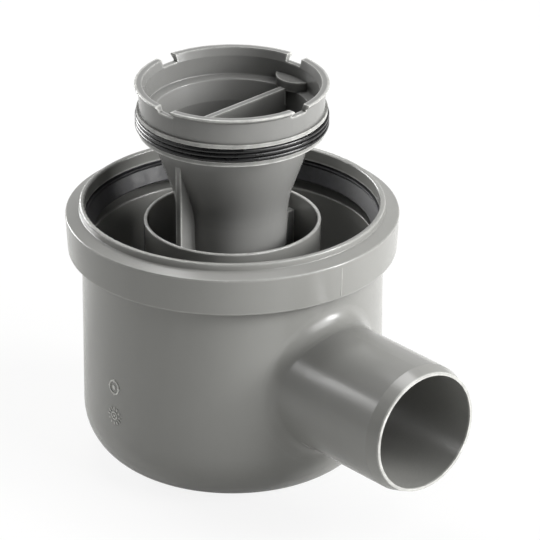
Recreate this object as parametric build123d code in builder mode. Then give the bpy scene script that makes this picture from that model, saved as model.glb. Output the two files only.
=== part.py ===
from build123d import *
import os

# Outlet body of a floor drain with its loose water trap, standing upright on its base.
# Origin at the centre of the base, +Z up, +X along the outlet spigot. All sizes in millimetres.

# Outlet spigot: a plain pipe end with a tapered lead-in
spigot_radius = 25.0
spigot_wall = 2.55
spigot_length = 53.1
spigot_lead_in = 5.5
spigot_lead_in_drop = 1.5
spigot_root_fillet = 7.0
spigot_root_length = 8.5
spigot_root_draft = 0.15
spigot_rise = 0.85
spigot_headroom = 12.65

# Cup-shaped body under the socket
pipe_radius = 55.0
pipe_stop_width = 1.0
pipe_stop_round = 0.5
body_wall = 3.5
body_floor = 3.2
base_corner = 22.5

# Pipe socket: collar, seal groove and raised mouth lip
socket_floor = 2.0
seal_groove_height = 11.8
seal_groove_depth = 4.4
mouth_clearance = 1.3
mouth_lip_wall = 2.1
mouth_lip_depth = 5.2
mouth_lip_upstand = 2.7
mouth_lip_round = 0.7
mouth_lip_fillet = 0.4
collar_wall = 2.1
collar_flare = 0.9
collar_neck_fillet = 1.6
collar_edge_round = 0.6
shoulder_drop = 1.6

# Rubber lip ring in the socket groove
seal_clearance = 0.15
seal_bead_height = 7.5
seal_bead_width = 2.4
seal_relief_height = 0.9
seal_relief_depth = 0.9
seal_ridge_clearance = 0.5
seal_ridge_height = 0.6
seal_ridge_round = 0.2
seal_crease_height = 0.5
seal_crease_depth = 0.4
seal_lip_drop = 7.8
seal_lip_squeeze = 2.0
seal_lip_thickness = 1.3
seal_lip_round = 0.4

# Trap cup standing on the floor of the body
cup_height = 94.4
cup_rim_radius = 33.8
cup_draft = 1.2
cup_wall = 1.4
cup_floor = 1.6
cup_corner = 8.0
cup_rim_round = 0.5

# Trap insert: flared rim, collar and ledge
insert_height = 148.85
rim_radius = 36.9
rim_bore_radius = 34.0
rim_lead_in = 1.0
rim_lead_in_depth = 3.1
rim_lip_thickness = 0.6
rim_flare_height = 2.2
rim_edge_round = 0.35
collar_radius = 35.3
collar_depth = 10.2
collar_bore_draft = 0.2
ledge_depth = 10.6
ledge_radius = 29.5
ledge_drop = 0.8
ledge_fillet = 0.6
ledge_edge_round = 0.4
notch_count = 4
notch_width = 7.6
notch_depth = 2.8
notch_azimuth = 5.0

# Trap insert: flanges of the seal groove
flange_radius = 36.2
flange_thickness = 1.5
insert_groove_radius = 34.0
insert_groove_height = 5.5
lower_flange_radius = 35.6
lower_flange_thickness = 2.0

# Trap insert: funnel and dip tube
funnel_top_radius = 29.4
funnel_middle_radius = 23.5
funnel_middle_drop = 21.95
throat_radius = 21.3
throat_drop = 32.5
funnel_top_slope = 0.05
tube_end_radius = 18.4
tube_wall = 2.1
tube_clear_height = 32.0

# Trap insert: cross wall in the bore, fins outside it and lugs at its ends
web_azimuth = 94.0
web_thickness = 2.7
bar_depth = 10.45
bar_height = 16.0
bar_slot_width = 2.35
bar_slot_depth = 7.0
fin_radius = 28.4
fin_overlap = 5.0
foot_height = 86.2
foot_clearance = 0.3
lug_depth = 7.55
lug_nose_radius = 27.0
lug_round = 9.2

# Ribbed rubber ring in the groove of the insert
rib_count = 3
rib_pitch = 1.75
rib_crest_radius = 36.8
ring_height = 5.3
ring_clearance = 0.1

# Length by which cutting shapes run past the faces they open
overrun = 5.0

# Radii and heights that follow from the sizes above
body_bore_radius = pipe_radius - pipe_stop_width
body_radius = body_bore_radius + body_wall
mouth_radius = pipe_radius + mouth_clearance
mouth_lip_radius = mouth_radius + mouth_lip_wall
groove_radius = mouth_radius + seal_groove_depth
collar_foot_radius = groove_radius + collar_wall
collar_top_radius = collar_foot_radius + collar_flare
spigot_height = base_corner + spigot_radius + spigot_rise
spigot_reach = body_radius + spigot_length
root_radius = spigot_radius + spigot_root_draft * (spigot_radius + spigot_root_length) / spigot_root_length
collar_foot_z = spigot_height + spigot_radius + spigot_headroom
groove_floor_z = collar_foot_z + socket_floor
groove_roof_z = groove_floor_z + seal_groove_height
body_height = groove_roof_z + mouth_lip_depth
lip_foot_z = body_height - mouth_lip_upstand
collar_edge_z = lip_foot_z - shoulder_drop

# Drain body: the cup and socket are turned, the spigot grows out of the side. Their profiles are drawn
# on the half-plane opposite the spigot, so that the seams of the turned faces stay clear of its root.
rear_plane = Plane.XZ.rotated((0, 0, 180))
with BuildPart() as drain_body:
    with BuildSketch(rear_plane):
        with BuildLine():
            FilletPolyline(
                (0, 0),
                (body_radius, 0),
                (body_radius, collar_foot_z),
                (collar_foot_radius, collar_foot_z),
                (collar_top_radius, collar_edge_z),
                (mouth_lip_radius, lip_foot_z),
                (mouth_lip_radius, body_height),
                (0, body_height),
                radius=[
                    base_corner,
                    collar_neck_fillet,
                    collar_edge_round,
                    collar_edge_round,
                    mouth_lip_fillet,
                    0,
                ],
            )
            Line((0, body_height), (0, 0))
        make_face()
    revolve(axis=Axis.Z)

    # The spigot's outside is turned about its own level axis. It widens a little behind the length that
    # goes into a pipe, and its root is blended into the wall.
    with BuildSketch(Plane.XZ):
        with BuildLine():
            Polyline(
                (body_radius - spigot_radius, spigot_height),
                (body_radius - spigot_radius, spigot_height + root_radius),
                (body_radius + spigot_root_length, spigot_height + spigot_radius),
                (spigot_reach - spigot_lead_in, spigot_height + spigot_radius),
                (spigot_reach, spigot_height + spigot_radius - spigot_lead_in_drop),
                (spigot_reach, spigot_height),
                close=True,
            )
        make_face()
    revolve(axis=Axis((0, 0, spigot_height), (1, 0, 0)))
    fillet(drain_body.edges().filter_by(GeomType.BSPLINE), radius=spigot_root_fillet)

    # The inside: floor, bore, ledge that stops the pipe, seal groove and mouth
    with BuildSketch(rear_plane):
        with BuildLine():
            FilletPolyline(
                (0, body_floor),
                (body_bore_radius, body_floor),
                (body_bore_radius, groove_floor_z),
                (groove_radius, groove_floor_z),
                (groove_radius, groove_roof_z),
                (mouth_radius, groove_roof_z),
                (mouth_radius, body_height + overrun),
                (0, body_height + overrun),
                radius=[base_corner - body_wall, pipe_stop_round, 0, 0, 0, 0],
            )
            Line((0, body_height + overrun), (0, body_floor))
        make_face()
    revolve(axis=Axis.Z, mode=Mode.SUBTRACT)
    with BuildSketch(Plane.YZ):
        with Locations((0, spigot_height)):
            Circle(spigot_radius - spigot_wall)
    extrude(amount=spigot_reach + overrun, mode=Mode.SUBTRACT)
    fillet(drain_body.edges().group_by(Axis.Z)[-1], radius=mouth_lip_round)

# Socket seal: a bead held in the groove, a small ridge under the mouth and a lip that wipes the pipe
seal_outer_radius = groove_radius - seal_clearance
relief_radius = mouth_radius + seal_relief_depth
ridge_radius = pipe_radius + seal_ridge_clearance
ridge_top_z = groove_roof_z - seal_relief_height
ridge_foot_z = ridge_top_z - seal_ridge_height
lip_root_z = ridge_foot_z - seal_crease_height
lip_tip_radius = pipe_radius - seal_lip_squeeze
lip_tip_z = groove_roof_z - seal_lip_drop
bead_foot_z = groove_roof_z - seal_bead_height
with BuildPart() as socket_seal:
    with BuildSketch(Plane.XZ):
        with BuildLine():
            FilletPolyline(
                (seal_outer_radius, groove_roof_z),
                (seal_outer_radius, bead_foot_z),
                (seal_outer_radius - seal_bead_width, bead_foot_z),
                (ridge_radius + seal_lip_thickness, lip_root_z - seal_lip_thickness),
                (lip_tip_radius + seal_lip_thickness, lip_tip_z),
                (lip_tip_radius, lip_tip_z),
                (ridge_radius, lip_root_z),
                (ridge_radius + seal_crease_depth, lip_root_z + seal_crease_height / 2),
                (ridge_radius, ridge_foot_z),
                (ridge_radius, ridge_top_z),
                (relief_radius, ridge_top_z),
                (relief_radius, groove_roof_z),
                close=True,
                radius=[0] + 5 * [seal_lip_round] + [0, 0, 0, seal_ridge_round, 0, 0],
            )
        make_face()
    revolve(axis=Axis.Z)

# Trap cup: a thin drafted cup that stands on the body's floor
cup_base_z = body_floor
cup_rim_z = cup_base_z + cup_height
cup_base_radius = cup_rim_radius - cup_draft
with BuildPart() as trap_cup:
    with BuildSketch(Plane.XZ):
        with BuildLine():
            FilletPolyline(
                (0, cup_base_z),
                (cup_base_radius, cup_base_z),
                (cup_rim_radius, cup_rim_z),
                (cup_rim_radius - cup_wall, cup_rim_z),
                (cup_base_radius - cup_wall, cup_base_z + cup_floor),
                (0, cup_base_z + cup_floor),
                radius=[cup_corner, cup_rim_round, cup_rim_round, cup_corner - cup_wall],
            )
            Line((0, cup_base_z + cup_floor), (0, cup_base_z))
        make_face()
    revolve(axis=Axis.Z)

# Heights of the trap insert, which stands in the cup on the feet of its fins
feet_z = cup_base_z + cup_floor
rim_z = feet_z + insert_height
flange_z = rim_z - collar_depth
insert_groove_top_z = flange_z - flange_thickness
insert_groove_foot_z = insert_groove_top_z - insert_groove_height
funnel_z = insert_groove_foot_z - lower_flange_thickness
funnel_middle_z = funnel_z - funnel_middle_drop
throat_z = funnel_z - throat_drop
tube_end_z = feet_z + tube_clear_height
ledge_z = rim_z - ledge_depth
collar_bore_radius = rim_bore_radius - rim_lead_in
bar_top_z = rim_z - bar_depth
foot_top_z = feet_z + foot_height
tube_slope = (throat_radius - tube_end_radius) / (throat_z - tube_end_z)
web_plane = Plane.XZ.rotated((0, 0, web_azimuth))

# Water way of the insert: the hollow inside it, less the cross wall and the two lugs
with BuildPart() as water_way:
    with BuildSketch(Plane.XZ):
        with BuildLine():
            FilletPolyline(
                (0, tube_end_z - overrun),
                (0, rim_z + overrun),
                (rim_bore_radius, rim_z + overrun),
                (rim_bore_radius, rim_z),
                (collar_bore_radius, rim_z - rim_lead_in_depth),
                (collar_bore_radius - collar_bore_draft, ledge_z),
                (ledge_radius, ledge_z - ledge_drop),
                (funnel_top_radius - tube_wall, funnel_z),
                radius=[0, 0, 0, 0, ledge_fillet, ledge_edge_round],
            )
            Spline(
                (funnel_top_radius - tube_wall, funnel_z),
                (funnel_middle_radius - tube_wall, funnel_middle_z),
                (throat_radius - tube_wall, throat_z),
                tangents=[(-funnel_top_slope, -1), (-tube_slope, -1)],
            )
            Polyline(
                (throat_radius - tube_wall, throat_z),
                (tube_end_radius - tube_wall, tube_end_z),
                (tube_end_radius - tube_wall, tube_end_z - overrun),
                (0, tube_end_z - overrun),
            )
        make_face()
    revolve(axis=Axis.Z)
    with BuildSketch(web_plane):
        with Locations((0, bar_top_z)):
            Rectangle(
                2 * (ledge_radius - bar_slot_width),
                bar_slot_depth,
                align=(Align.CENTER, Align.MAX),
            )
        with Locations((0, bar_top_z - bar_slot_depth)):
            Rectangle(
                2 * ledge_radius,
                bar_height - bar_slot_depth,
                align=(Align.CENTER, Align.MAX),
            )
    extrude(amount=web_thickness / 2, both=True, mode=Mode.SUBTRACT)
    with BuildSketch(Plane.XY.offset(ledge_z - ledge_drop)):
        with PolarLocations(lug_nose_radius + lug_round, 2, start_angle=web_azimuth):
            Circle(lug_round)
    extrude(amount=ledge_depth - lug_depth + ledge_drop, mode=Mode.SUBTRACT)

# Outline of one fin: slim beside the funnel, then a wide foot that fills the cup to its floor
cup_bore_slope = cup_draft / cup_height
foot_base_radius = cup_base_radius - cup_wall - foot_clearance + cup_bore_slope * cup_floor
foot_top_radius = foot_base_radius + cup_bore_slope * foot_height
foot_corner = cup_corner - cup_wall
leg_radius = tube_end_radius - tube_wall
with BuildPart() as trap_insert:
    with BuildSketch(Plane.XZ):
        with BuildLine():
            FilletPolyline(
                (0, rim_z),
                (rim_radius, rim_z),
                (rim_radius, rim_z - rim_lip_thickness),
                (collar_radius, rim_z - rim_flare_height),
                (collar_radius, flange_z),
                (flange_radius, flange_z),
                (flange_radius, insert_groove_top_z),
                (insert_groove_radius, insert_groove_top_z),
                (insert_groove_radius, insert_groove_foot_z),
                (lower_flange_radius, insert_groove_foot_z),
                (lower_flange_radius, funnel_z),
                (funnel_top_radius, funnel_z),
                radius=[rim_edge_round, 0, 0, 0, 0, 0, 0, 0, 0, 0],
            )
            Spline(
                (funnel_top_radius, funnel_z),
                (funnel_middle_radius, funnel_middle_z),
                (throat_radius, throat_z),
                tangents=[(-funnel_top_slope, -1), (-tube_slope, -1)],
            )
            Polyline(
                (throat_radius, throat_z),
                (tube_end_radius, tube_end_z),
                (0, tube_end_z),
                (0, rim_z),
            )
        make_face()
    revolve(axis=Axis.Z)
    with BuildSketch(web_plane):
        with BuildLine():
            Polyline(
                (leg_radius, feet_z),
                (foot_base_radius - foot_corner, feet_z),
                (foot_base_radius, feet_z + foot_corner),
                (foot_top_radius, foot_top_z),
                (fin_radius, foot_top_z),
                (fin_radius, funnel_z - fin_overlap),
                (leg_radius, funnel_z - fin_overlap),
                close=True,
            )
        make_face()
        mirror(about=Plane.YZ)
    extrude(amount=web_thickness / 2, both=True)
    add(water_way.part, mode=Mode.SUBTRACT)
    with BuildSketch(Plane.XY.offset(rim_z - notch_depth)):
        with PolarLocations(collar_radius, notch_count, start_angle=notch_azimuth):
            Rectangle(2 * (collar_radius - ledge_radius), notch_width)
    extrude(amount=notch_depth + overrun, mode=Mode.SUBTRACT)

# Insert seal: a ring with round ribs that rests on the lower flank of its groove
ring_radius = insert_groove_radius + ring_clearance
rib_radius = rib_pitch / 2
rib_centre_radius = rib_crest_radius - rib_radius
with BuildPart() as insert_seal:
    with BuildSketch(Plane.XZ):
        with Locations((ring_radius, insert_groove_foot_z)):
            Rectangle(rib_centre_radius - ring_radius, ring_height, align=(Align.MIN, Align.MIN))
        with Locations((rib_centre_radius, insert_groove_foot_z + ring_height / 2)):
            with GridLocations(0, rib_pitch, 1, rib_count):
                Circle(rib_radius)
    revolve(axis=Axis.Z)

os.makedirs("parts", exist_ok=True)
drain_body.part.label = "drain_body"
socket_seal.part.label = "socket_seal"
trap_cup.part.label = "trap_cup"
trap_insert.part.label = "trap_insert"
insert_seal.part.label = "insert_seal"
for piece in (drain_body, socket_seal, trap_cup, trap_insert, insert_seal):
    export_step(piece.part, f"parts/{piece.part.label}.step")
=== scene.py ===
import math

import bpy
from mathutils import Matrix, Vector


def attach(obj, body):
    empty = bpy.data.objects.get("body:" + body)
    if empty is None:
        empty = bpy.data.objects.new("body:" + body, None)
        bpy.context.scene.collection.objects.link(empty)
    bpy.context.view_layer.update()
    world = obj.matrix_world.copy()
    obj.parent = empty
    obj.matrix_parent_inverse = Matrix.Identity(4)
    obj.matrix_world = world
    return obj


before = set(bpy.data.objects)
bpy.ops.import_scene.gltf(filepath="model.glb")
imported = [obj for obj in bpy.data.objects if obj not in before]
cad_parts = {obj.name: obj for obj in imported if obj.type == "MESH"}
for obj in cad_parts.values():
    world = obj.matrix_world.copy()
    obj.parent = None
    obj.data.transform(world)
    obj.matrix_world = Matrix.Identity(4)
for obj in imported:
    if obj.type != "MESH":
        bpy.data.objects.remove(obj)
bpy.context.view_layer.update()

# Drain body: the cup, pipe socket and outlet spigot in one piece, injection moulded in grey polypropylene.
# It stands on its flat base, and everything else sits inside it. Its CAD solid has the true shape and stays.
MM = 0.001


def linear(hex_colour):
    """Linear RGBA of an sRGB hex colour."""
    channels = [int(hex_colour[i:i + 2], 16) / 255 for i in (1, 3, 5)]
    return [c / 12.92 if c <= 0.04045 else ((c + 0.055) / 1.055) ** 2.4 for c in channels] + [1.0]


def add_node(tree, kind, inputs=None, **settings):
    """Adds a node, sets its properties, and gives each input a value or a link."""
    node = tree.nodes.new(kind)
    for name, value in settings.items():
        setattr(node, name, value)
    for key, value in (inputs or {}).items():
        if isinstance(value, bpy.types.NodeSocket):
            tree.links.new(value, node.inputs[key])
        else:
            node.inputs[key].default_value = value
    return node


def moulded_polypropylene(name, dark, light, rubbed_and_highlight, cloud_mm, wall_radius_mm):
    """Satin grey polypropylene: soft flow clouds in the grey, fine draw marks along the walls from
    leaving the mould, a faint eroded grain, paler edges that are partly rubbed wear and partly painted highlight,
    and duller hollows darkened with painted shade."""
    material = bpy.data.materials.new(name)
    material.use_nodes = True
    tree = material.node_tree
    shader = tree.nodes["Principled BSDF"]
    place = add_node(tree, "ShaderNodeTexCoord").outputs["Object"]

    # Flow clouds, drawn out along the height, as the melt ran up from the base
    melt_stretch = 0.45
    drawn_out = add_node(tree, "ShaderNodeMapping", {"Vector": place, "Scale": (1.0, 1.0, melt_stretch)})
    clouds = add_node(tree, "ShaderNodeTexNoise", {
        "Vector": drawn_out.outputs["Vector"], "Scale": 1 / (cloud_mm * MM), "Detail": 4.0, "Roughness": 0.6})
    grey = add_node(tree, "ShaderNodeMix", {
        "Factor": clouds.outputs["Fac"], "A": linear(dark), "B": linear(light)}, data_type="RGBA")

    # Rubbed edges and painted edge highlights: rays sent a little way into the wall meet another face only near an
    # outer edge, and there the colour is painted paler, partly as wear and partly as a painted highlight line
    edge_reach, patch_size = 1.3, 3.5
    inside = add_node(tree, "ShaderNodeAmbientOcclusion", {"Distance": edge_reach * MM},
                      inside=True, only_local=True, samples=8)
    edge = add_node(tree, "ShaderNodeMapRange", {
        "Value": inside.outputs["AO"], "From Min": 0.88, "From Max": 0.45, "To Min": 0.0, "To Max": 1.3})
    patches = add_node(tree, "ShaderNodeTexNoise", {"Vector": place, "Scale": 1 / (patch_size * MM), "Detail": 3.0})
    worn_and_highlit = add_node(tree, "ShaderNodeMath", {0: edge.outputs["Result"], 1: patches.outputs["Fac"]},
                    operation="MULTIPLY")
    colour = add_node(tree, "ShaderNodeMix", {
        "Factor": worn_and_highlit.outputs["Value"], "A": grey.outputs["Result"], "B": linear(rubbed_and_highlight)}, data_type="RGBA")

    # Hollows: the cores of the mould leave the plastic duller inside, and deep in the hollows the colour is darkened
    # as painted shade
    hollow_reach, hollow_roughness = 45.0, 0.85
    openness = add_node(tree, "ShaderNodeAmbientOcclusion", {"Distance": hollow_reach * MM},
                        only_local=True, samples=8)
    hollow_shade_and_dullness = add_node(tree, "ShaderNodeMapRange", {
        "Value": openness.outputs["AO"], "From Min": 0.75, "From Max": 0.1})
    painted_hollow_shade = add_node(tree, "ShaderNodeMix", {
        "Factor": hollow_shade_and_dullness.outputs["Result"], "A": linear("#FFFFFF"), "B": linear("#A6A6A4")}, data_type="RGBA")
    with_painted_shade = add_node(tree, "ShaderNodeMix", {
        "Factor": 1.0, "A": colour.outputs["Result"], "B": painted_hollow_shade.outputs["Result"]},
        data_type="RGBA", blend_type="MULTIPLY")

    # Draw marks: lines 1.2 mm apart around the wall and long in height, coarser than real ones so that they show
    mark_spacing, mark_stretch = 1.2, 0.05
    axes = add_node(tree, "ShaderNodeSeparateXYZ", {"Vector": place})
    turn = add_node(tree, "ShaderNodeMath", {0: axes.outputs["Y"], 1: axes.outputs["X"]}, operation="ARCTAN2")
    around = add_node(tree, "ShaderNodeMath", {0: turn.outputs["Value"], 1: wall_radius_mm * MM},
                      operation="MULTIPLY")
    along = add_node(tree, "ShaderNodeMath", {0: axes.outputs["Z"], 1: mark_stretch}, operation="MULTIPLY")
    unrolled = add_node(tree, "ShaderNodeCombineXYZ", {"X": around.outputs["Value"], "Z": along.outputs["Value"]})
    marks = add_node(tree, "ShaderNodeTexNoise", {
        "Vector": unrolled.outputs["Vector"], "Scale": 1 / (mark_spacing * MM), "Detail": 2.0})

    # Eroded grain: real pits are about 0.2 mm wide, drawn at 0.8 mm so that they show
    grain_size, grain_depth = 0.8, 0.05
    grain = add_node(tree, "ShaderNodeTexNoise", {"Vector": place, "Scale": 1 / (grain_size * MM), "Detail": 2.0})
    grained = add_node(tree, "ShaderNodeBump", {
        "Height": grain.outputs["Fac"], "Strength": 0.10, "Distance": grain_depth * MM})

    # Satin gloss that varies with the clouds and a little with the draw marks, and is dull in the hollows
    mark_share, smooth_roughness, rough_roughness = 0.06, 0.20, 0.26
    gloss = add_node(tree, "ShaderNodeMix", {
        "Factor": mark_share, "A": clouds.outputs["Fac"], "B": marks.outputs["Fac"]}, data_type="FLOAT")
    satin = add_node(tree, "ShaderNodeMapRange", {
        "Value": gloss.outputs["Result"], "From Min": 0.3, "From Max": 0.7,
        "To Min": smooth_roughness, "To Max": rough_roughness})
    dulled = add_node(tree, "ShaderNodeMix", {
        "Factor": hollow_shade_and_dullness.outputs["Result"], "A": satin.outputs["Result"], "B": hollow_roughness},
        data_type="FLOAT")
    polypropylene_ior = 1.49
    shader.inputs["IOR"].default_value = polypropylene_ior
    tree.links.new(with_painted_shade.outputs["Result"], shader.inputs["Base Color"])
    tree.links.new(dulled.outputs["Result"], shader.inputs["Roughness"])
    tree.links.new(grained.outputs["Normal"], shader.inputs["Normal"])
    return material


body_radius = 57.5
body_plastic = moulded_polypropylene(
    "body_moulded_polypropylene", dark="#797976", light="#838380", rubbed_and_highlight="#D0D0CC",
    cloud_mm=34.0, wall_radius_mm=body_radius)
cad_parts["drain_body"].material_slots[0].material = body_plastic

# Parting lines of the body: fine raised lines that the two mould halves leave where they meet, in the upright
# plane through the spigot. One runs over the collar above the spigot, the other down the wall opposite it.


def swept_line_nodes():
    """Sweeps a round bead along the edges of a mesh."""
    tree = bpy.data.node_groups.new("swept_line", "GeometryNodeTree")
    tree.interface.new_socket("Path", in_out="INPUT", socket_type="NodeSocketGeometry")
    tree.interface.new_socket("Bead Radius", in_out="INPUT", socket_type="NodeSocketFloat")
    tree.interface.new_socket("Material", in_out="INPUT", socket_type="NodeSocketMaterial")
    tree.interface.new_socket("Line", in_out="OUTPUT", socket_type="NodeSocketGeometry")
    sizes = add_node(tree, "NodeGroupInput")
    path = add_node(tree, "GeometryNodeMeshToCurve", {"Mesh": sizes.outputs["Path"]})
    bead = add_node(tree, "GeometryNodeCurvePrimitiveCircle", {
        "Resolution": 10, "Radius": sizes.outputs["Bead Radius"]})
    swept = add_node(tree, "GeometryNodeCurveToMesh", {
        "Curve": path.outputs["Curve"], "Profile Curve": bead.outputs["Curve"], "Fill Caps": True})
    plain = add_node(tree, "GeometryNodeRealizeInstances", {"Geometry": swept.outputs["Mesh"]})
    finished = add_node(tree, "GeometryNodeSetMaterial", {
        "Geometry": plain.outputs["Geometry"], "Material": sizes.outputs["Material"]})
    add_node(tree, "NodeGroupOutput", {"Line": finished.outputs["Geometry"]})
    return tree


def grown(name, mesh, tree, values, smooth=True):
    """Runs a node tree on a mesh and returns the result as a plain mesh object."""
    piece = bpy.data.objects.new(name, mesh)
    bpy.context.scene.collection.objects.link(piece)
    modifier = piece.modifiers.new(name, "NODES")
    modifier.node_group = tree
    for socket in tree.interface.items_tree:
        if socket.in_out == "INPUT" and socket.name in values:
            modifier[socket.identifier] = values[socket.name]
    bpy.context.view_layer.update()
    evaluated = piece.evaluated_get(bpy.context.evaluated_depsgraph_get())
    result = bpy.data.meshes.new_from_object(evaluated)
    piece.modifiers.remove(modifier)
    piece.data = result
    result.name = name
    for face in result.polygons:
        face.use_smooth = smooth
    return piece


def parting_line(name, azimuth, profile, bead_radius, sunk, material):
    """A bead along (radius, height) points in mm at one azimuth, sunk so that only a low line stands proud."""
    turn = math.radians(azimuth)
    path = []
    for i, (radius, height) in enumerate(profile):
        before, after = profile[max(i - 1, 0)], profile[min(i + 1, len(profile) - 1)]
        run, rise = after[0] - before[0], after[1] - before[1]
        length = math.hypot(run, rise)
        r = radius - sunk * rise / length
        path.append((r * math.cos(turn) * MM, r * math.sin(turn) * MM, (height + sunk * run / length) * MM))
    mesh = bpy.data.meshes.new(name)
    mesh.from_pydata(path, [(i, i + 1) for i in range(len(path) - 1)], [])
    line = grown(name, mesh, swept_line_tree, {"Bead Radius": bead_radius * MM, "Material": material})
    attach(line, "root")
    return line


def arc(centre_radius, centre_height, radius, start, end, steps):
    """Points of an arc in the plane of radius and height, angles in degrees."""
    angles = [math.radians(start + (end - start) * i / steps) for i in range(steps + 1)]
    return [(centre_radius + radius * math.cos(a), centre_height + radius * math.sin(a)) for a in angles]


swept_line_tree = swept_line_nodes()
# The lines stand proud, so they are painted a little paler all along, partly as rubbed wear and partly as painted
# highlight
body_line_plastic = moulded_polypropylene(
    "body_line_moulded_polypropylene", dark="#797976", light="#838380", rubbed_and_highlight="#B4B4B0",
    cloud_mm=34.0, wall_radius_mm=body_radius)
parting_bead, parting_sunk = 0.26, 0.20
base_corner, base_line_start, wall_line_top = 22.5, -80, 84.2
wall_line = arc(body_radius - base_corner, base_corner, base_corner, base_line_start, 0, steps=16)
wall_line.append((body_radius, wall_line_top))
collar_line = [(63.0, 87.2), (63.55, 98.9)]
spigot_azimuth = 0
for name, azimuth, profile in (("body_parting_line_rear", spigot_azimuth + 180, wall_line),
                               ("body_parting_line_front", spigot_azimuth, collar_line)):
    parting_line(name, azimuth, profile, parting_bead, parting_sunk, body_line_plastic)

# Mould marks on the body: a plain ring with a centre dot, and under it a ring of ticks. They are engraved in
# the mould, so they stand proud of the wall in the same plastic, at the side a quarter turn from the spigot.


def dial_nodes():
    """A flat ring with a dot in the middle and ticks around it, in its own plane."""
    tree = bpy.data.node_groups.new("mould_dial", "GeometryNodeTree")
    for size in ("Ring Radius", "Line Width", "Height", "Dot Radius", "Tick Radius", "Tick Length"):
        tree.interface.new_socket(size, in_out="INPUT", socket_type="NodeSocketFloat")
    tree.interface.new_socket("Ticks", in_out="INPUT", socket_type="NodeSocketInt")
    tree.interface.new_socket("Material", in_out="INPUT", socket_type="NodeSocketMaterial")
    tree.interface.new_socket("Dial", in_out="OUTPUT", socket_type="NodeSocketGeometry")
    sizes = add_node(tree, "NodeGroupInput")
    circle = add_node(tree, "GeometryNodeCurvePrimitiveCircle", {
        "Resolution": 40, "Radius": sizes.outputs["Ring Radius"]})
    section = add_node(tree, "GeometryNodeCurvePrimitiveQuadrilateral", {
        "Width": sizes.outputs["Line Width"], "Height": sizes.outputs["Height"]})
    ring = add_node(tree, "GeometryNodeCurveToMesh", {
        "Curve": circle.outputs["Curve"], "Profile Curve": section.outputs["Curve"]})
    dot = add_node(tree, "GeometryNodeMeshCylinder", {
        "Vertices": 16, "Radius": sizes.outputs["Dot Radius"], "Depth": sizes.outputs["Height"]})
    places = add_node(tree, "GeometryNodeMeshCircle", {
        "Vertices": sizes.outputs["Ticks"], "Radius": sizes.outputs["Tick Radius"]})
    tick_size = add_node(tree, "ShaderNodeCombineXYZ", {
        "X": sizes.outputs["Tick Length"], "Y": sizes.outputs["Line Width"], "Z": sizes.outputs["Height"]})
    tick = add_node(tree, "GeometryNodeMeshCube", {"Size": tick_size.outputs["Vector"]})
    outward = add_node(tree, "GeometryNodeInputPosition")
    turned = add_node(tree, "FunctionNodeAlignRotationToVector", {"Vector": outward.outputs["Position"]}, axis="X")
    ticks = add_node(tree, "GeometryNodeInstanceOnPoints", {
        "Points": places.outputs["Mesh"], "Instance": tick.outputs["Mesh"], "Rotation": turned.outputs["Rotation"]})
    dial = add_node(tree, "GeometryNodeJoinGeometry")
    for part in (ring.outputs["Mesh"], dot.outputs["Mesh"], ticks.outputs["Instances"]):
        tree.links.new(part, dial.inputs["Geometry"])
    plain = add_node(tree, "GeometryNodeRealizeInstances", {"Geometry": dial.outputs["Geometry"]})
    finished = add_node(tree, "GeometryNodeSetMaterial", {
        "Geometry": plain.outputs["Geometry"], "Material": sizes.outputs["Material"]})
    add_node(tree, "NodeGroupOutput", {"Dial": finished.outputs["Geometry"]})
    return tree


dial_tree = dial_nodes()
mark_azimuth = 268.3
mark_thickness, mark_line, mark_tick = 0.5, 0.55, 1.2
for name, height, ring_radius, dot_radius, tick_radius, tick_count in (
        ("mould_mark_ring", 43.2, 2.7, 0.9, 2.7, 4),
        ("mould_mark_ticks", 31.2, 1.5, 0.6, 3.1, 12)):
    mark = grown(name, bpy.data.meshes.new(name), dial_tree, {
        "Ring Radius": ring_radius * MM, "Line Width": mark_line * MM, "Height": mark_thickness * MM,
        "Dot Radius": dot_radius * MM, "Tick Radius": tick_radius * MM, "Tick Length": mark_tick * MM,
        "Ticks": tick_count, "Material": body_plastic}, smooth=False)
    # Wrapped on the wall: the flat mark's width goes around it, its thickness half into it and half out
    for point in mark.data.vertices:
        turn = math.radians(mark_azimuth) + point.co.x / (body_radius * MM)
        radius = body_radius * MM + point.co.z
        point.co = (radius * math.cos(turn), radius * math.sin(turn), height * MM + point.co.y)
    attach(mark, "root")

# Socket seal: a lip ring of black rubber, moulded in one piece and snapped into the groove under the mouth.
# Its CAD solid has the true section and stays.


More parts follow.
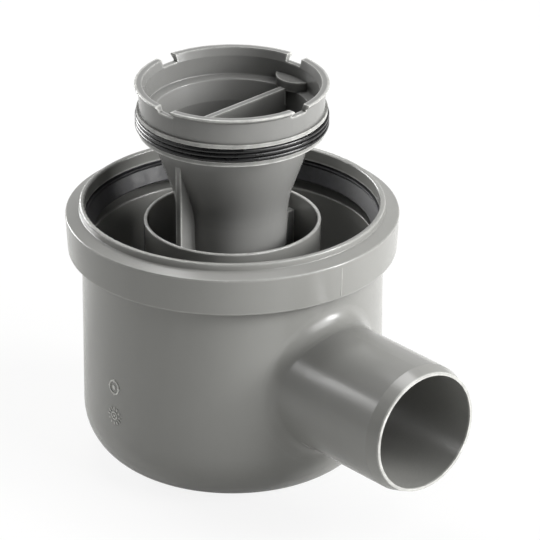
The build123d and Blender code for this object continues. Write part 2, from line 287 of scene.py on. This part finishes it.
def moulded_rubber(name, black, bloom, bloom_mm, dull_roughness, glossy_roughness):
    """Black moulded rubber: near black with a grey bloom in soft patches, a fine pebbled skin,
    and a broad dull sheen."""
    material = bpy.data.materials.new(name)
    material.use_nodes = True
    tree = material.node_tree
    shader = tree.nodes["Principled BSDF"]
    place = add_node(tree, "ShaderNodeTexCoord").outputs["Object"]
    patches = add_node(tree, "ShaderNodeTexNoise", {
        "Vector": place, "Scale": 1 / (bloom_mm * MM), "Detail": 5.0, "Roughness": 0.65})
    bloomed = add_node(tree, "ShaderNodeMapRange", {
        "Value": patches.outputs["Fac"], "From Min": 0.40, "From Max": 0.72})
    colour = add_node(tree, "ShaderNodeMix", {
        "Factor": bloomed.outputs["Result"], "A": linear(black), "B": linear(bloom)}, data_type="RGBA")
    dull = add_node(tree, "ShaderNodeMapRange", {
        "Value": patches.outputs["Fac"], "From Min": 0.3, "From Max": 0.7,
        "To Min": glossy_roughness, "To Max": dull_roughness})
    # Pebbled skin: real pits are about 0.1 mm wide, drawn at 0.9 mm so that they show
    pebble_size, pebble_depth = 0.9, 0.1
    pebbles = add_node(tree, "ShaderNodeTexNoise", {"Vector": place, "Scale": 1 / (pebble_size * MM), "Detail": 3.0})
    skin = add_node(tree, "ShaderNodeBump", {
        "Height": pebbles.outputs["Fac"], "Strength": 0.25, "Distance": pebble_depth * MM})
    rubber_ior = 1.52
    shader.inputs["IOR"].default_value = rubber_ior
    tree.links.new(colour.outputs["Result"], shader.inputs["Base Color"])
    tree.links.new(dull.outputs["Result"], shader.inputs["Roughness"])
    tree.links.new(skin.outputs["Normal"], shader.inputs["Normal"])
    return material


seal_rubber = moulded_rubber(
    "socket_seal_moulded_rubber", black="#141415", bloom="#323236", bloom_mm=5.0,
    dull_roughness=0.62, glossy_roughness=0.44)
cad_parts["socket_seal"].material_slots[0].material = seal_rubber

# Trap cup: a thin-walled cup of grey polypropylene, injection moulded, standing loose on the floor of the body.
# Its CAD solid has the true shape and stays.
cup_plastic = moulded_polypropylene(
    "cup_moulded_polypropylene", dark="#777774", light="#82827F", rubbed_and_highlight="#D8D8D5",
    cloud_mm=22.0, wall_radius_mm=33.0)
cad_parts["trap_cup"].material_slots[0].material = cup_plastic

# Trap insert: notched rim, collar, funnel, dip tube and fins in one piece, injection moulded in grey
# polypropylene. It stands loose in the cup on its fins. Its CAD solid has the true shape and stays.
insert_radius = 33.0
insert_plastic = moulded_polypropylene(
    "insert_moulded_polypropylene", dark="#70706E", light="#7B7B79", rubbed_and_highlight="#CCCCC8",
    cloud_mm=20.0, wall_radius_mm=insert_radius)
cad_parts["trap_insert"].material_slots[0].material = insert_plastic

# Parting lines of the insert: low raised lines up the two sides of its collar, in the same plastic, that the
# mould halves leave where they meet.
insert_collar_line = [(35.3, 143.7), (35.3, 150.4)]
insert_line_plastic = moulded_polypropylene(
    "insert_line_moulded_polypropylene", dark="#70706E", light="#7B7B79", rubbed_and_highlight="#7B7B79",
    cloud_mm=20.0, wall_radius_mm=insert_radius)
for name, azimuth in (("insert_parting_line_front", 281), ("insert_parting_line_rear", 101)):
    parting_line(name, azimuth, insert_collar_line, parting_bead, parting_sunk, insert_line_plastic)

# Insert seal: a ribbed ring of black rubber, moulded in one piece and stretched into the groove of the insert.
# Its CAD solid has the true ribs and stays.
ring_rubber = moulded_rubber(
    "insert_seal_moulded_rubber", black="#0B0B0C", bloom="#151516", bloom_mm=4.0,
    dull_roughness=0.34, glossy_roughness=0.24)
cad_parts["insert_seal"].material_slots[0].material = ring_rubber

# Floor: a white studio sweep under the drain. It is matt paper, and to the camera it is mostly plain white, with
# the drain's own shadow kept on it. In the gloss of the plastic it is more of the lit paper, darker near the base.
floor_half = 4.0
floor_mesh = bpy.data.meshes.new("floor")
floor_mesh.from_pydata([(-floor_half, -floor_half, 0), (floor_half, -floor_half, 0),
                        (floor_half, floor_half, 0), (-floor_half, floor_half, 0)], [], [(0, 1, 2, 3)])
floor = bpy.data.objects.new("floor", floor_mesh)
bpy.context.scene.collection.objects.link(floor)
paper = bpy.data.materials.new("matt_white_paper")
paper.use_nodes = True
paper.node_tree.nodes.clear()
rays = add_node(paper.node_tree, "ShaderNodeLightPath")
seen_white, gloss_white = 0.88, 0.25
straight = add_node(paper.node_tree, "ShaderNodeMath", {
    0: rays.outputs["Is Camera Ray"], 1: rays.outputs["Is Transmission Ray"]}, operation="MAXIMUM")
seen_share = add_node(paper.node_tree, "ShaderNodeMath", {0: straight.outputs["Value"], 1: seen_white},
                      operation="MULTIPLY")
gloss_share = add_node(paper.node_tree, "ShaderNodeMath", {0: rays.outputs["Is Glossy Ray"], 1: gloss_white},
                       operation="MULTIPLY")
plain_share = add_node(paper.node_tree, "ShaderNodeMath", {
    0: seen_share.outputs["Value"], 1: gloss_share.outputs["Value"]}, operation="MAXIMUM")
matt = add_node(paper.node_tree, "ShaderNodeBsdfDiffuse", {"Color": linear("#DADAD8")})
white = add_node(paper.node_tree, "ShaderNodeEmission", {"Color": linear("#FFFFFF"), "Strength": 1.0})
paper_mix = add_node(paper.node_tree, "ShaderNodeMixShader", {
    0: plain_share.outputs["Value"], 1: matt.outputs["BSDF"], 2: white.outputs["Emission"]})
add_node(paper.node_tree, "ShaderNodeOutputMaterial", {"Surface": paper_mix.outputs["Shader"]})
floor_mesh.materials.append(paper)

# Surroundings: a white sweep behind and left of the drain, and a dim room elsewhere. The camera sees plain
# white all round, and the gloss of the plastic sees the sweep and the room.
ambient = 0.02
room_gloss, sweep_gloss, sweep_azimuth = 0.03, 0.7, 135.0
view_azimuth = 49.36
studio = bpy.data.worlds.new("white_studio")
bpy.context.scene.world = studio
studio.use_nodes = True
studio.node_tree.nodes.clear()
rays = add_node(studio.node_tree, "ShaderNodeLightPath")
seen = add_node(studio.node_tree, "ShaderNodeMath", {
    0: rays.outputs["Is Glossy Ray"], 1: rays.outputs["Is Transmission Ray"]}, operation="MAXIMUM")
direction = add_node(studio.node_tree, "ShaderNodeTexCoord")
sweep_turn = math.radians(sweep_azimuth + view_azimuth)
behind = add_node(studio.node_tree, "ShaderNodeVectorMath", {
    0: direction.outputs["Generated"], 1: (math.cos(sweep_turn), math.sin(sweep_turn), 0.0)},
    operation="DOT_PRODUCT")
gloss_level = add_node(studio.node_tree, "ShaderNodeMapRange", {
    "Value": behind.outputs["Value"], "From Min": -0.1, "From Max": 0.7,
    "To Min": room_gloss, "To Max": sweep_gloss})
lit = add_node(studio.node_tree, "ShaderNodeMix", {
    "Factor": seen.outputs["Value"], "A": ambient, "B": gloss_level.outputs["Result"]}, data_type="FLOAT")
level = add_node(studio.node_tree, "ShaderNodeMath", {
    0: lit.outputs["Result"], 1: rays.outputs["Is Camera Ray"]}, operation="MAXIMUM")
sky = add_node(studio.node_tree, "ShaderNodeBackground", {
    "Color": linear("#FFFFFF"), "Strength": level.outputs["Value"]})
add_node(studio.node_tree, "ShaderNodeOutputWorld", {"Surface": sky.outputs["Background"]})

# Lights: two soft boxes from the right, one low and one higher and nearer the camera, a soft one overhead from
# behind, a card behind on the left that brightens the outlines there, and a narrow strip on the left whose
# reflection is the bright line along the spigot. The strip lights the body alone and casts no shadow.
middle = Vector((9.354, 10.897, 75.32)) * MM  # the point that the lights and the camera aim at


def softbox(name, azimuth, elevation, distance, width, height, power):
    """An area light aimed at the middle of the drain. Azimuth 0 is right of the camera, 90 is behind the drain."""
    turn, rise = math.radians(azimuth + view_azimuth), math.radians(elevation)
    lamp = bpy.data.lights.new(name, "AREA")
    lamp.shape = "RECTANGLE"
    lamp.size, lamp.size_y, lamp.energy = width, height, power
    light = bpy.data.objects.new(name, lamp)
    bpy.context.scene.collection.objects.link(light)
    away = Vector((math.cos(rise) * math.cos(turn), math.cos(rise) * math.sin(turn), math.sin(rise)))
    light.location = middle + distance * away
    light.rotation_euler = (-away).to_track_quat("-Z", "Y").to_euler()
    return light


softbox("key_right", azimuth=347, elevation=22, distance=1.5, width=0.5, height=0.5, power=26.0)
softbox("key_front", azimuth=326, elevation=36, distance=1.5, width=1.0, height=1.0, power=21.0)
softbox("overhead", azimuth=110, elevation=70, distance=1.5, width=0.8, height=0.8, power=12.5)
softbox("back_left", azimuth=140, elevation=14, distance=1.5, width=0.9, height=0.5, power=24.0)
strip = softbox("strip_left", azimuth=172, elevation=24.5, distance=1.6, width=0.06, height=0.4, power=2.6)
strip.data.use_shadow = False
body_only = bpy.data.collections.new("body_only")
body_only.objects.link(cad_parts["drain_body"])
strip.light_linking.receiver_collection = body_only

# Camera: a long lens a little over two metres away, looking down at the drain as in the photograph. The picture
# is taken with the plain Standard view.
view_elevation, view_distance = 25.27, 2.0451
lens = bpy.data.cameras.new("camera")
lens.sensor_width, lens.lens = 36.0, 355.97
camera = bpy.data.objects.new("camera", lens)
bpy.context.scene.collection.objects.link(camera)
rise, turn = math.radians(view_elevation), math.radians(view_azimuth)
towards_camera = Vector((math.cos(rise) * math.sin(turn), -math.cos(rise) * math.cos(turn), math.sin(rise)))
camera.location = middle + view_distance * towards_camera
camera.rotation_euler = (-towards_camera).to_track_quat("-Z", "Y").to_euler()
bpy.context.scene.camera = camera
bpy.context.scene.view_settings.view_transform = "Standard"
